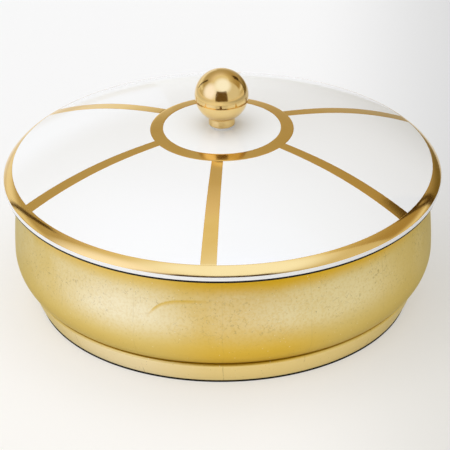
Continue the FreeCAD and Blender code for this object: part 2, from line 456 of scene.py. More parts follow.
@dataclass(frozen=True)
class GoldLeaf(Finish):
    """Gold leaf over black lacquer, varnished, with painted highlights on the belly and plinth, and
    painted shade and dark reflection at the front, under the rim and in the crease.
    """

    rim: float
    crease: float
    pale: Colour = (0.96, 0.86, 0.575, 1.0)
    # The pale colour again in painted shade, for the right side, which gets less light.
    pale_right_shaded: Colour = (0.94, 0.815, 0.46, 1.0)
    plain: Colour = (0.775, 0.583, 0.172, 1.0)
    deep: Colour = (0.775, 0.515, 0.068, 1.0)
    # Colour of the painted shade under the lid's overhang.
    under_lid_shade: Colour = (0.88, 0.52, 0.010, 1.0)
    shaded: Colour = (0.50, 0.32, 0.015, 1.0)
    # Plinth gold, paler as painted light, and its painted highlight.
    plinth_lifted_gold: Colour = (0.91, 0.725, 0.32, 1.0)
    plinth_highlight: Colour = (0.965, 0.82, 0.50, 1.0)
    crack: Colour = (0.30, 0.19, 0.05, 1.0)
    fleck: Colour = (0.96, 0.86, 0.60, 1.0)
    under: Colour = (0.012, 0.010, 0.008, 1.0)
    edge: Colour = (0.58, 0.60, 0.55, 1.0)
    # Sector at the front where the leaf gets a painted dark reflection: deeper and more orange.
    front: Sector = Sector(11.0, 30.0, 6.0)
    plinth_highlight_sector: Sector = Sector(-30.0, 34.0, 4.0)
    crease_shade_front: Sector = Sector(4.0, 48.0, 14.0)
    # Sector where the painted shade under the lid is strongest.
    under_lid_shade_front: Sector = Sector(27.0, 46.0, 16.0)
    # Degrees from the front over which the pale colour changes to its painted shade on the right.
    right_shade_turn: Point = (4.0, 30.0)
    coarse_specks: Specks = Specks(9.5 * MM, 0.20 * MM, 0.5)
    fine_specks: Specks = Specks(1.7 * MM, 0.15 * MM, 0.5, (0.11, 0.43, 0.27))
    pale_flecks: Specks = Specks(2.4 * MM, 0.24 * MM, 0.5, (0.31, 0.17, 0.05))
    pale_all_over: float = 0.16
    fine_strength: float = 0.6
    fleck_strength: float = 0.5
    fold_strength: float = 0.75
    crack_strength: float = 0.40
    lap_strength: float = 0.35
    mottle_strength: float = 0.22
    lap_angle: float = 24.0
    lap_phase: float = 0.358
    fold_height: float = 46.8 * MM
    fold_drop: float = 8.0 * MM
    fold_start: float = -16.0
    fold_run: float = 3.2
    # The two front patches are painted highlights; the two at the back are worn leaf.
    pale_patches: tuple[PalePatch, ...] = (
        PalePatch(-24.0, 35 * MM, 18.0, 14 * MM, 0.78),
        PalePatch(32.0, 38 * MM, 22.0, 14 * MM, 0.66),
        PalePatch(125.0, 40 * MM, 24.0, 15 * MM, 0.60),
        PalePatch(-140.0, 42 * MM, 20.0, 14 * MM, 0.60),
    )

    def belly(self, nodes: Nodes, height: Socket) -> Socket:
        """Mask of the open belly, clear of the rim and the crease.

        Args:
            nodes: Node tree.
            height: Height on the piece.

        Returns:
            The mask.
        """
        low = nodes.step(height, self.crease + 8 * MM, self.crease + 26 * MM)
        high = nodes.step(height, self.rim - 2 * MM, self.rim - 11 * MM)
        return nodes.product(low, high)

    def paleness(self, nodes: Nodes, place: Socket, around: Socket, height: Socket) -> Socket:
        """How pale the leaf is on the belly: paler in random clouds, with pale patches that are painted
        highlights at the front.

        Args:
            nodes: Node tree.
            place: Place on the piece.
            around: Degrees from the front.
            height: Height on the piece.

        Returns:
            Share of the pale tone.
        """
        cloud = nodes.noise(place, 38 * MM, 4.0)
        wander = nodes.product(nodes.math("SUBTRACT", cloud, 0.5), 1.6)
        pale_share = nodes.product(nodes.step(cloud, 0.40, 0.66), 0.35)
        for patch in self.pale_patches:
            across = nodes.math("SUBTRACT", around, patch.around)
            across = nodes.math("DIVIDE", across, patch.width)
            up = nodes.math("DIVIDE", nodes.math("SUBTRACT", height, patch.height), patch.rise)
            reach = nodes.add("ShaderNodeCombineXYZ", {"X": across, "Y": up}).outputs[0]
            far = nodes.math("ADD", nodes.length(reach), wander)
            soft = nodes.product(nodes.step(far, 1.5, 0.2), patch.strength)
            pale_share = nodes.math("ADD", pale_share, soft)
        pale_share = nodes.math("ADD", pale_share, self.pale_all_over)
        return nodes.product(pale_share, self.belly(nodes, height))

    def plinth(self, nodes: Nodes, colour: Socket, around: Socket, height: Socket) -> Socket:
        """Add the plinth below the crease, its gold paler than the belly's as painted light, with a
        painted highlight at its front left.

        Args:
            nodes: Node tree.
            colour: Colour of the belly.
            around: Degrees from the front.
            height: Height on the piece.

        Returns:
            The colour with the plinth.
        """
        below = nodes.step(height, self.crease - 0.4 * MM, self.crease - 1.6 * MM)
        pale = nodes.sector(around, self.plinth_highlight_sector)
        return nodes.mix(below, colour, nodes.mix(pale, self.plinth_lifted_gold, self.plinth_highlight))

    def crease_shade(self, nodes: Nodes, around: Socket, height: Socket) -> Socket:
        """Painted shade in the crease above the plinth, strongest at the front.

        Args:
            nodes: Node tree.
            around: Degrees from the front.
            height: Height on the piece.

        Returns:
            Mask of the painted shade.
        """
        near = nodes.step(height, self.crease + 2.6 * MM, self.crease + 0.2 * MM)
        above = nodes.math("GREATER_THAN", height, self.crease - 0.3 * MM)
        front = nodes.span(nodes.sector(around, self.crease_shade_front), 0.35, 0.8)
        return nodes.product(near, above, front)

    def under_lid_shade_mask(self, nodes: Nodes, place: Socket, around: Socket, height: Socket) -> Socket:
        """Painted shade under the lid's overhang: below the rim, most of all right of the front.

        Args:
            nodes: Node tree.
            place: Place on the piece.
            around: Degrees from the front.
            height: Height on the piece.

        Returns:
            Mask of the painted shade.
        """
        uneven = nodes.span(nodes.noise(place, 22 * MM, 3.0), 0.55, 1.25)
        under_rim = nodes.step(height, self.rim - 10.5 * MM, self.rim - 2.5 * MM)
        bare = nodes.step(height, self.rim - 0.6 * MM, self.rim - 1.3 * MM)
        front_weight = nodes.span(nodes.sector(around, self.under_lid_shade_front), 0.45, 0.95)
        return nodes.product(under_rim, bare, uneven, front_weight)

    def cracks(self, nodes: Nodes, place: Socket, height: Socket) -> Socket:
        """Short hairlines, gathered in patches of the belly.

        Args:
            nodes: Node tree.
            place: Place on the piece.
            height: Height on the piece.

        Returns:
            Mask of the hairlines.
        """
        warp = nodes.noise(place, 6 * MM, 3.0, "Color")
        warp = nodes.scaled(nodes.vector("SUBTRACT", warp, (0.5, 0.5, 0.5)), 4 * MM)
        cells = nodes.cells(nodes.vector("ADD", place, warp), 1.9 * MM, "DISTANCE_TO_EDGE")
        line = nodes.step(cells.outputs["Distance"], 0.07, 0.015)
        broken = nodes.step(nodes.noise(place, 1.7 * MM), 0.52, 0.62)
        patch = nodes.step(nodes.noise(place, 26 * MM), 0.30, 0.60)
        patch = nodes.product(patch, self.belly(nodes, height))
        return nodes.product(line, broken, patch)

    def dots(self, nodes: Nodes, place: Socket, specks: Specks) -> Socket:
        """Scattered round specks.

        Args:
            nodes: Node tree.
            place: Place on the piece.
            specks: Their pattern.

        Returns:
            Mask of the specks.
        """
        cell, size = specks.spacing, specks.radius
        cells = nodes.cells(nodes.vector("ADD", place, specks.shift), cell, "F1")
        draw = nodes.add("ShaderNodeSeparateColor", {0: cells.outputs["Color"]}).outputs[0]
        chosen = nodes.math("GREATER_THAN", draw, 1.0 - specks.share)
        spot = nodes.step(cells.outputs["Distance"], size * 1.4 / cell, size * 0.6 / cell)
        return nodes.product(spot, chosen)

    def laps(self, nodes: Nodes, place: Socket, around: Socket, height: Socket) -> Socket:
        """Thin upright lines where one leaf overlaps the next, strongest on the plinth.

        Args:
            nodes: Node tree.
            place: Place on the piece.
            around: Degrees from the front.
            height: Height on the piece.

        Returns:
            Mask of the lines.
        """
        wobble = nodes.product(nodes.noise(place, 9 * MM, 3.0), 0.05)
        turns = nodes.math("DIVIDE", around, self.lap_angle)
        turns = nodes.math("ADD", nodes.math("ADD", turns, self.lap_phase - 0.025), wobble)
        offset = nodes.math("SUBTRACT", nodes.math("FRACT", turns), 0.5)
        line = nodes.step(nodes.math("ABSOLUTE", offset), 0.0075, 0.002)
        broken = nodes.step(nodes.noise(place, 5 * MM), 0.40, 0.56)
        plinth = nodes.step(height, self.crease + 1 * MM, self.crease)
        return nodes.product(line, broken, nodes.span(plinth, 0.25, 1.0))

    def fold(self, nodes: Nodes, around: Socket, height: Socket) -> Socket:
        """Fold in one leaf, which climbs steeply and then runs level.

        Args:
            nodes: Node tree.
            around: Degrees from the front.
            height: Height on the piece.

        Returns:
            Mask of the fold.
        """
        run = nodes.math("SUBTRACT", self.fold_start, around)
        run = nodes.math("EXPONENT", nodes.math("DIVIDE", run, self.fold_run))
        curve = nodes.math("ADD", nodes.product(run, -self.fold_drop), self.fold_height)
        off = nodes.math("SUBTRACT", height, curve)
        crest = nodes.step(off, 0.5 * MM, -0.1 * MM)
        shade = nodes.step(off, -2.2 * MM, -0.2 * MM)
        begin = nodes.step(around, self.fold_start - 1.0, self.fold_start + 1.5)
        end = nodes.step(around, self.fold_start + 18.0, self.fold_start + 10.0)
        return nodes.product(crest, shade, begin, end)

    def worn(self, nodes: Nodes, place: Socket, height: Socket) -> Socket:
        """Chips along the rim, where the black lacquer shows.

        Args:
            nodes: Node tree.
            place: Place on the piece.
            height: Height on the piece.

        Returns:
            Mask of the chips.
        """
        ragged = nodes.product(nodes.noise(place, 2.0 * MM, 3.0), 2.4 * MM)
        edge = nodes.math("ADD", height, ragged)
        return nodes.step(edge, self.rim + 0.55 * MM, self.rim + 0.75 * MM)

    def dress(self, nodes: Nodes) -> None:
        """Build the tones, then the marks over them, then the gloss and the relief.

        Args:
            nodes: Node tree.
        """
        place = nodes.place()
        around, height = nodes.around(place), nodes.part(place, "Z")
        grain = nodes.noise(place, 1.2 * MM, 3.0)
        cracks = self.cracks(nodes, place, height)
        fine = nodes.product(self.dots(nodes, place, self.fine_specks), self.fine_strength)
        specks = nodes.math("MAXIMUM", self.dots(nodes, place, self.coarse_specks), fine)
        flecks = self.dots(nodes, place, self.pale_flecks)
        laps = self.laps(nodes, place, around, height)
        fold = self.fold(nodes, around, height)

        # Painted dark reflection: deeper, more orange leaf in a sector at the front.
        leaf_with_dark_front = nodes.mix(nodes.sector(around, self.front), self.plain, self.deep)
        # Painted highlights: pale patches on the belly, with a shaded copy of the pale colour on the
        # right.
        pale = nodes.mix(nodes.step(around, *self.right_shade_turn), self.pale, self.pale_right_shaded)
        colour = nodes.mix(self.paleness(nodes, place, around, height), leaf_with_dark_front, pale)
        mottle = nodes.product(nodes.step(grain, 0.42, 0.66), self.mottle_strength)
        colour = nodes.mix(mottle, colour, leaf_with_dark_front)
        # Painted light on the plinth: paler gold than the belly, with a painted highlight at its front
        # left.
        colour = self.plinth(nodes, colour, around, height)
        colour = nodes.mix(nodes.product(fold, self.fold_strength), colour, self.deep)
        # Painted shade under the lid's overhang, below the rim.
        colour = nodes.mix(self.under_lid_shade_mask(nodes, place, around, height), colour, self.under_lid_shade)
        # Painted shade in the crease above the plinth.
        colour = nodes.mix(self.crease_shade(nodes, around, height), colour, self.shaded)
        colour = nodes.mix(nodes.product(flecks, self.fleck_strength), colour, self.fleck)
        marks = nodes.math("MAXIMUM", nodes.product(cracks, self.crack_strength), specks)
        marks = nodes.math("MAXIMUM", marks, nodes.product(laps, self.lap_strength))
        colour = nodes.mix(marks, colour, self.crack)
        worn = self.worn(nodes, place, height)
        colour = nodes.mix(worn, colour, self.under)

        sway = nodes.noise(place, 13 * MM)
        relief = nodes.math("SUBTRACT", nodes.product(grain, 0.30), cracks)
        relief = nodes.math("ADD", relief, nodes.product(sway, 2.0))
        nodes.surface(
            {
                "Base Color": colour,
                "Metallic": nodes.math("SUBTRACT", 1.0, worn),
                "Roughness": nodes.span(grain, 0.36, 0.52),
                "Specular Tint": self.edge,
                "Normal": nodes.bump(relief, 0.06 * MM, 0.6),
            }
        )


@dataclass(frozen=True)
class Lacquer(Finish):
    """Gloss lacquer with a faint cloud and orange peel, and, if it has one, a paler, cooler middle that
    is painted light against the knob's warm shade.
    """

    colour: Colour
    cloudy: Colour
    rough: float = 0.30
    gloss: float = 0.03
    coat: float = 1.0
    sheen: float = 0.5
    peel: float = 0.02
    haze: float = 0.08
    # Paler, cooler white inside the hub ring: painted light against the knob's warm shade.
    middle: Colour | None = None
    shade_lift_radius: float = 27 * MM

    def dress(self, nodes: Nodes) -> None:
        """Build the cloud, the polishing haze and the orange peel.

        Args:
            nodes: Node tree.
        """
        place = nodes.place()
        cloud = nodes.noise(place, 45 * MM, 3.0)
        haze = nodes.noise(place, 9 * MM, 4.0)
        colour = nodes.mix(nodes.step(cloud, 0.35, 0.7), self.colour, self.cloudy)
        # Painted light: paler, cooler white inside the hub ring offsets the knob's warm shade.
        if self.middle is not None:
            radius = nodes.round_place()[1]
            inside = nodes.math("LESS_THAN", radius, self.shade_lift_radius)
            colour = nodes.mix(inside, colour, self.middle)
        inputs = {
            "Base Color": colour,
            "Roughness": nodes.span(haze, self.rough - self.haze, self.rough + self.haze),
            "Specular IOR Level": self.sheen,
            "Coat Weight": self.coat,
            "Coat Roughness": self.gloss,
        }
        if self.peel > 0.0:
            peel = nodes.noise(place, 2.8 * MM, 1.0)
            inputs["Normal"] = nodes.bump(peel, 0.01 * MM, self.peel)
        nodes.surface(inputs)


@dataclass(frozen=True)
class Brass(Finish):
    """Polished brass with fine marks that follow its lay and, on one band, a painted dark reflection on
    its lip.
    """

    colour: Colour
    tarnish: Colour
    lay: Lay
    rough: float
    lip: float = 0.0
    # Sector and colour of the painted dark reflection on the lip.
    lip_reflection_front: Sector = Sector(3.0, 27.0, 9.0)
    lip_reflection_colour: Colour = (0.33, 0.22, 0.08, 1.0)

    def lip_reflection(self, nodes: Nodes, colour: Socket) -> Socket:
        """Add the painted dark reflection along a band's lower edge, which fades to the sides.

        Args:
            nodes: Node tree.
            colour: Colour of the brass.

        Returns:
            The colour with the painted reflection.
        """
        place = nodes.place()
        near = nodes.step(nodes.part(place, "Z"), self.lip + 0.8 * MM, self.lip + 0.3 * MM)
        reflection = nodes.product(near, nodes.sector(nodes.around(place), self.lip_reflection_front))
        return nodes.mix(reflection, colour, self.lip_reflection_colour)

    def marks(self, nodes: Nodes) -> Socket:
        """Fine marks that run along the lay.

        Args:
            nodes: Node tree.

        Returns:
            The marks, from 0 to 1.
        """
        direction, radius, height = nodes.round_place()
        if self.lay is Lay.ROUND:
            slow = nodes.scaled(direction, 2.5)
            fine = nodes.product(nodes.math("ADD", radius, height), 5200.0)
        else:
            slow = nodes.scaled(direction, 420.0)
            fine = nodes.product(radius, 60.0)
        along = nodes.add("ShaderNodeCombineXYZ", {"Z": fine}).outputs[0]
        return nodes.noise(nodes.vector("ADD", slow, along), 1.0, 3.0)

    def dress(self, nodes: Nodes) -> None:
        """Build the marks and a thin uneven tarnish.

        Args:
            nodes: Node tree.
        """
        marks = self.marks(nodes)
        cloud = nodes.noise(nodes.place(), 12 * MM, 4.0)
        tarnished = nodes.product(nodes.step(cloud, 0.45, 0.75), 0.5)
        colour = nodes.mix(tarnished, self.colour, self.tarnish)
        # Painted dark reflection along the lower edge of the rim band.
        if self.lip > 0.0:
            colour = self.lip_reflection(nodes, colour)
        nodes.surface(
            {
                "Base Color": colour,
                "Metallic": 1.0,
                "Roughness": nodes.span(marks, self.rough * 0.6, self.rough * 1.4),
                "Normal": nodes.bump(marks, 0.001 * MM, 0.10),
            }
        )


@dataclass(frozen=True)
class Felt(Finish):
    """Short black felt."""

    colour: Colour = (0.014, 0.012, 0.010, 1.0)
    lint: Colour = (0.040, 0.036, 0.030, 1.0)

    def dress(self, nodes: Nodes) -> None:
        """Build the matted fibres.

        Args:
            nodes: Node tree.
        """
        place = nodes.place()
        fibre = nodes.noise(place, 0.35 * MM, 4.0)
        nodes.surface(
            {
                "Base Color": nodes.mix(nodes.step(fibre, 0.5, 0.75), self.colour, self.lint),
                "Roughness": nodes.span(fibre, 0.85, 1.0),
                "Specular IOR Level": 0.1,
                "Normal": nodes.bump(fibre, 0.2 * MM),
            }
        )


@dataclass(frozen=True)
class Plated(Finish):
    """Zinc plated steel with turning marks and a dull bloom."""

    bright: Colour = (0.62, 0.63, 0.66, 1.0)
    bloom: Colour = (0.44, 0.45, 0.46, 1.0)

    def dress(self, nodes: Nodes) -> None:
        """Build the bloom and the turning marks.

        Args:
            nodes: Node tree.
        """
        direction, radius, _ = nodes.round_place()
        fine = nodes.add("ShaderNodeCombineXYZ", {"Z": nodes.product(radius, 6000.0)})
        turned = nodes.vector("ADD", nodes.scaled(direction, 3.0), fine.outputs[0])
        marks = nodes.noise(turned, 1.0, 2.0)
        cloud = nodes.noise(nodes.place(), 2.5 * MM, 4.0)
        nodes.surface(
            {
                "Base Color": nodes.mix(nodes.step(cloud, 0.4, 0.7), self.bright, self.bloom),
                "Metallic": 1.0,
                "Roughness": nodes.span(marks, 0.25, 0.45),
                "Normal": nodes.bump(marks, 0.01 * MM, 0.3),
            }
        )


@dataclass(frozen=True)
class Nylon(Finish):
    """Pale moulded nylon."""

    colour: Colour = (0.78, 0.77, 0.74, 1.0)
    shade: Colour = (0.72, 0.71, 0.67, 1.0)

    def dress(self, nodes: Nodes) -> None:
        """Build the faint grain of the mould.

        Args:
            nodes: Node tree.
        """
        place = nodes.place()
        cloud = nodes.noise(place, 3 * MM, 3.0)
        grain = nodes.noise(place, 0.3 * MM, 2.0)
        nodes.surface(
            {
                "Base Color": nodes.mix(nodes.step(cloud, 0.35, 0.7), self.colour, self.shade),
                "Roughness": nodes.span(grain, 0.4, 0.55),
                "Normal": nodes.bump(grain, 0.02 * MM, 0.4),
            }
        )


@dataclass(frozen=True)
class PaleFloor(Finish):
    """Pale floor, warm in front of the box, with painted shade on its right, greyest behind it, painted
    dimming to the sides, and paler far out.
    """

    front: Colour = (0.98, 0.96, 0.925, 1.0)
    back: Colour = (0.955, 0.955, 0.955, 1.0)
    # Floor colours in painted shade, right of the box.
    front_right_shaded: Colour = (0.80, 0.785, 0.745, 1.0)
    back_right_shaded: Colour = (0.72, 0.72, 0.72, 1.0)
    dim: Colour = (0.42, 0.41, 0.39, 1.0)
    far: Colour = (0.80, 0.74, 0.62, 1.0)
    lit_share: float = 0.45
    glow_share: float = 0.52

    def dress(self, nodes: Nodes) -> None:
        """Build the change of colour across the floor, and a faint grain.

        Args:
            nodes: Node tree.
        """
        place = nodes.place()
        side = nodes.part(place, "X")
        grain = nodes.noise(place, 3 * MM, 3.0)
        behind = nodes.step(nodes.part(place, "Y"), -0.10, 0.15)
        left = nodes.mix(behind, self.front, self.back)
        # Painted shade: the floor is greyer right of the box.
        right = nodes.mix(behind, self.front_right_shaded, self.back_right_shaded)
        colour = nodes.mix(nodes.step(side, 0.02, 0.13), left, right)
        # Painted dimming of the light: the floor darkens to both sides.
        rightward = nodes.step(side, 0.14, 0.50)
        leftward = nodes.product(nodes.step(side, -0.15, -0.60), 0.6)
        colour = nodes.mix(nodes.math("MAXIMUM", rightward, leftward), colour, self.dim)
        colour = nodes.mix(nodes.step(nodes.round_place()[1], 0.5, 0.9), colour, self.far)
        nodes.surface(
            {
                "Base Color": nodes.mix(self.lit_share, NO_COLOUR, colour),
                "Roughness": nodes.span(grain, 0.55, 0.7),
                "Specular IOR Level": 0.2,
                "Emission Color": colour,
                "Emission Strength": self.glow_share,
                "Normal": nodes.bump(grain, 0.02 * MM, 0.2),
            }
        )

    def material(self) -> bpy.types.Material:
        """Find or build the floor's material, whose own glow isn't sampled as a lamp.

        Returns:
            The material.
        """
        made = super().material()
        made.cycles.emission_sampling = "NONE"
        return made


class Finishes:
    """The finishes of the box, by piece."""

    def __init__(self) -> None:
        """Set up every finish, the leaf between the bowl's foot and rim."""
        black = (0.012, 0.010, 0.009, 1.0)
        cloud = (0.02, 0.017, 0.015, 1.0)
        foot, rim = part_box("bowl_wall")
        self.leaf = GoldLeaf("gold_leaf", rim.z, foot.z)
        self.black = Lacquer("black_lacquer", black, cloud, 0.25, 0.05)
        self.satin = Lacquer("satin_black", black, cloud, 0.6, 0.3, coat=0.0, sheen=0.12)
        self.white = Lacquer(
            "white_lacquer",
            (0.922, 0.93, 0.94, 1.0),
            (0.916, 0.924, 0.936, 1.0),
            peel=0.0,
            haze=0.0,
            # Painted light inside the hub ring, against the knob's warm shade.
            middle=(0.955, 0.975, 0.995, 1.0),
        )
        gold = (0.84, 0.578, 0.19, 1.0)
        dull = (0.80, 0.528, 0.15, 1.0)
        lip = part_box("lid_shell")[0].z + WHITE_EDGE
        self.rim_band = Brass("rim_band_brass", gold, dull, Lay.ROUND, 0.13, lip=lip)
        self.round_band = Brass("round_band_brass", gold, dull, Lay.ROUND, 0.13)
        self.rib_band = Brass("rib_band_brass", gold, dull, Lay.RADIAL, 0.13)
        self.knob = Brass(
            "knob_brass", (0.84, 0.605, 0.245, 1.0), (0.81, 0.57, 0.21, 1.0), Lay.ROUND, 0.13
        )
        self.felt = Felt("black_felt")
        self.plated = Plated("plated_steel")
        self.nylon = Nylon("pale_nylon")


# Pieces of the box


def dress_solid(node: str, finish: Finish) -> None:
    """Give a finish to a solid that stays.

    Args:
        node: Node of the solid.
        finish: Finish that dresses it.
    """
    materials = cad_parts[node].data.materials
    materials.clear()
    materials.append(finish.material())


@dataclass
class Bowl:
    """Leafed bowl on its plinth, with the floor panel and the felt: the body that stands still."""

    finishes: Finishes
    belly_height: float = 14.7 * MM
    rim_radius: float = 93.2 * MM
    base_radius: float = 88.2 * MM
    rim_round: float = 1.2 * MM
    mouth_radius: float = 88.0 * MM
    inner_corner: float = 16.0 * MM
    floor_lip: float = 1.5 * MM
    plinth_round: float = 1.0 * MM
    plinth_swell: float = 0.35 * MM
    plinth_base_radius: float = 85.4 * MM
    rebate_depth: float = 5.0 * MM
    felt_width: float = 8.5 * MM

    def build(self) -> None:
        """Make the new pieces and dress the solids that stay."""
        self.wall()
        self.plinth()
        self.felt()
        dress_solid("base_panel", self.finishes.black)

    def wall(self) -> None:
        """Bulging wall, leafed outside and black inside."""
        low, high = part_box("bowl_wall")
        foot, rim, belly_radius = low.z, high.z, high.x
        belly_line = foot + self.belly_height
        flank_height = rim - belly_line
        belly_arc = bulge_radius(belly_radius - self.base_radius, self.belly_height)
        flank_arc = bulge_radius(belly_radius - self.rim_radius, flank_height)
        belly_centre = (belly_radius - belly_arc, belly_line)
        flank_centre = (belly_radius - flank_arc, belly_line)
        belly_turn = math.asin(self.belly_height / belly_arc)
        flank_turn = math.asin((flank_height - self.rim_round) / flank_arc)
        shoulder = on_circle(flank_centre, flank_arc, math.pi / 2 - flank_turn)
        rim_centre = (shoulder[0] - self.rim_round, rim - self.rim_round)
        corner = (self.mouth_radius - self.inner_corner, foot + self.floor_lip + self.inner_corner)

        outline = Turning(corner[0], foot)
        outline.line(self.base_radius, foot, 4)
        outline.arc(belly_centre, -belly_turn, 24)
        outline.arc(flank_centre, -flank_turn, 28)
        outline.arc(rim_centre, flank_turn - math.pi / 2, 8)
        outline.line(self.mouth_radius, rim, 3)
        outline.line(self.mouth_radius, corner[1], 12)
        outline.arc(corner, math.pi / 2, 16)
        mesh = outline.closed().turned()
        inside = self.mouth_radius + 0.2 * MM
        for face in mesh.faces:
            middle = face.calc_center_median()
            if math.hypot(middle.x, middle.y) < inside and middle.z > foot + 0.1 * MM:
                face.material_index = 1
        seat = Seat("bowl", Body.BOX, "bowl_wall", "leafed_wood")
        seat.place(mesh, self.finishes.leaf.material(), self.finishes.black.material())

    def plinth(self) -> None:
        """Plinth ring, tapering to the floor, with the ledge that carries the floor panel."""
        low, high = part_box("foot_ring")
        panel_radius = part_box("base_panel")[1].x
        inner = panel_radius - self.rebate_depth
        centre = (high.x - self.plinth_round, high.z - self.plinth_round)
        rise = centre[1] - low.z
        run = high.x - self.plinth_base_radius
        chord = math.hypot(rise, run)
        swell_arc = (chord**2 / 4 + self.plinth_swell**2) / (2 * self.plinth_swell)
        half_turn = math.asin(chord / 2 / swell_arc)
        lean = math.atan2(run, rise)
        reach = math.sqrt(swell_arc**2 - chord**2 / 4)
        middle = ((high.x + self.plinth_base_radius) / 2, (low.z + centre[1]) / 2)
        swell_centre = (middle[0] - reach * math.cos(lean), middle[1] + reach * math.sin(lean))

        outline = Turning(inner, low.z)
        outline.line(self.plinth_base_radius, low.z, 3)
        outline.arc(swell_centre, -2 * half_turn, 12)
        outline.arc(centre, -math.pi / 2, 8)
        outline.line(panel_radius, high.z, 3)
        outline.line(panel_radius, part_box("base_panel")[0].z, 2)
        outline.line(inner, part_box("base_panel")[0].z, 2)
        mesh = outline.closed().turned()
        seat = Seat("plinth", Body.BOX, "foot_ring", "leafed_wood")
        seat.place(mesh, self.finishes.leaf.material())

    def felt(self) -> None:
        """Felt ring with soft edges."""
        low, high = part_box("base_felt")
        inner = high.x - self.felt_width
        outline = Turning(inner, low.z)
        outline.line(high.x, low.z, 4)
        outline.line(high.x, high.z)
        outline.line(inner, high.z, 4)
        mesh = outline.closed().turned()
        ease_edges(mesh, 0.15 * MM)
        seat = Seat("felt_ring", Body.BOX, "base_felt", "felt")
        seat.place(mesh, self.finishes.felt.material())


@dataclass
class Lid:
    """White domed lid with its seat ring and its flush gold bands."""

    finishes: Finishes
    edge_height: float = 1.05 * MM
    edge_round: float = 1.6 * MM
    shoulder_radius: float = 11.5 * MM
    shoulder_angle: float = 56.0
    brow_angle: float = 25.5
    underside_step: float = 3.0 * MM
    thickness: float = 6.0 * MM
    hole_radius: float = 2.3 * MM
    mouth_radius: float = 88.0 * MM
    spigot_wall: float = 3.4 * MM
    spigot_clearance: float = 0.6 * MM
    spigot_lead_in: float = 1.0 * MM
    band_depth: float = 0.6 * MM
    band_stand: float = 0.03 * MM
    band_ease: float = 0.06 * MM
    white_edge: float = WHITE_EDGE
    rim_band_inner: float = 95.8 * MM
    hub_inner: float = 26.7 * MM
    hub_outer: float = 32.6 * MM
    rib_count: int = 6
    rib_at_hub: float = 5.1 * MM
    rib_at_rim: float = 7.1 * MM

    def __post_init__(self) -> None:
        """Work out the arcs of the dome, each tangent to the next."""
        low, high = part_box("lid_shell")
        self.land, self.crown, self.radius = low.z, high.z, high.x
        self.brow = math.radians(self.brow_angle)
        self.shoulder = math.radians(self.shoulder_angle)
        self.edge_centre = (self.radius - self.edge_round, self.land + self.edge_height)
        shoulder_foot = on_circle(self.edge_centre, self.edge_round, self.shoulder)
        self.shoulder_centre = on_circle(shoulder_foot, -self.shoulder_radius, self.shoulder)
        end = on_circle(self.shoulder_centre, self.shoulder_radius, self.brow)
        run, drop = end[0], self.crown - end[1]
        cosine, sine = math.cos(self.brow), math.sin(self.brow)
        along = run * (1 + cosine) + drop * sine
        spread = 2 * (1 - cosine)
        reach = (math.sqrt(along**2 + spread * (run**2 + drop**2)) - along) / spread
        self.join = math.atan2(drop - reach * sine, run - reach - reach * cosine)
        self.crown_arc = reach / math.tan(self.join / 2)
        self.brow_arc = reach / math.tan((self.brow - self.join) / 2)
        self.crown_centre = (0.0, self.crown - self.crown_arc)
        joint = on_circle(self.crown_centre, self.crown_arc, self.join)
        self.brow_centre = on_circle(joint, -self.brow_arc, self.join)

    def build(self) -> None:
        """Make every piece of the lid apart from the knob."""
        self.shell()
        self.seat_ring()
        self.rim_band()
        self.hub_band()
        self.rib_bands()

    def angle_at(self, radius: float) -> float:
        """Lean of the dome at a distance from the axis.

        Args:
            radius: Distance from the axis.

        Returns:
            Angle from level, in radians.
        """
        if radius <= self.crown_arc * math.sin(self.join):
            return math.asin(radius / self.crown_arc)
        if radius <= on_circle(self.brow_centre, self.brow_arc, self.brow)[0]:
            return math.asin((radius - self.brow_centre[0]) / self.brow_arc)
        return math.asin((radius - self.shoulder_centre[0]) / self.shoulder_radius)

    def skin(self, outline: Turning | None, begin: float, end: float, lift: float) -> Turning:
        """Draw the dome between two leans, outwards or inwards.

        Args:
            outline: Outline to draw on, or None to start one.
            begin: Lean at which the stretch begins.
            end: Lean at which it ends.
            lift: Height of the stretch above the dome, below it if negative.

        Returns:
            The outline with the stretch.
        """
        arcs = [
            (self.crown_centre, self.crown_arc, 0.0, self.join, 300),
            (self.brow_centre, self.brow_arc, self.join, self.brow, 120),
            (self.shoulder_centre, self.shoulder_radius, self.brow, self.shoulder, 30),
            (self.edge_centre, self.edge_round, self.shoulder, math.pi / 2, 14),
        ]
        inwards = end < begin
        for centre, radius, low, high, fineness in reversed(arcs) if inwards else arcs:
            first = min(max(begin, low), high)
            last = min(max(end, low), high)
            if math.isclose(first, last):
                continue
            corner = on_circle(centre, radius + lift, first)
            if outline is None:
                outline = Turning(*corner)
            elif (outline.tip.co - Vector((corner[0], 0.0, corner[1]))).length > 10 * MERGE_GAP:
                outline.line(*corner)
            outline.arc(centre, last - first, max(2, round(fineness * abs(last - first))))
        return outline

    def shell(self) -> None:
        """Domed shell with its vault underneath and the hole for the knob's screw."""
        spigot_inner = self.spigot_inner()
        vault_top = self.crown - self.thickness
        vault_foot = self.land + self.underside_step
        vault = bulge_radius(vault_top - vault_foot, spigot_inner)
        vault_centre = (0.0, vault_top - vault)
        vault_lean = math.asin(spigot_inner / vault)
        hole_lean = math.asin(self.hole_radius / vault)

        outline = self.skin(None, self.angle_at(self.hole_radius), math.pi / 2, 0.0)
        outline.line(self.radius, self.land)
        outline.line(spigot_inner, self.land, 4)
        outline.line(spigot_inner, vault_foot, 2)
        outline.arc(vault_centre, hole_lean - vault_lean, 60)
        mesh = outline.closed().turned()
        seat = Seat("lid_dome", Body.LID, "lid_shell", "white_lacquered_wood")
        seat.place(mesh, self.finishes.white.material())

    def spigot_inner(self) -> float:
        """Inner radius of the spigot."""
        return self.mouth_radius - self.spigot_clearance - self.spigot_wall

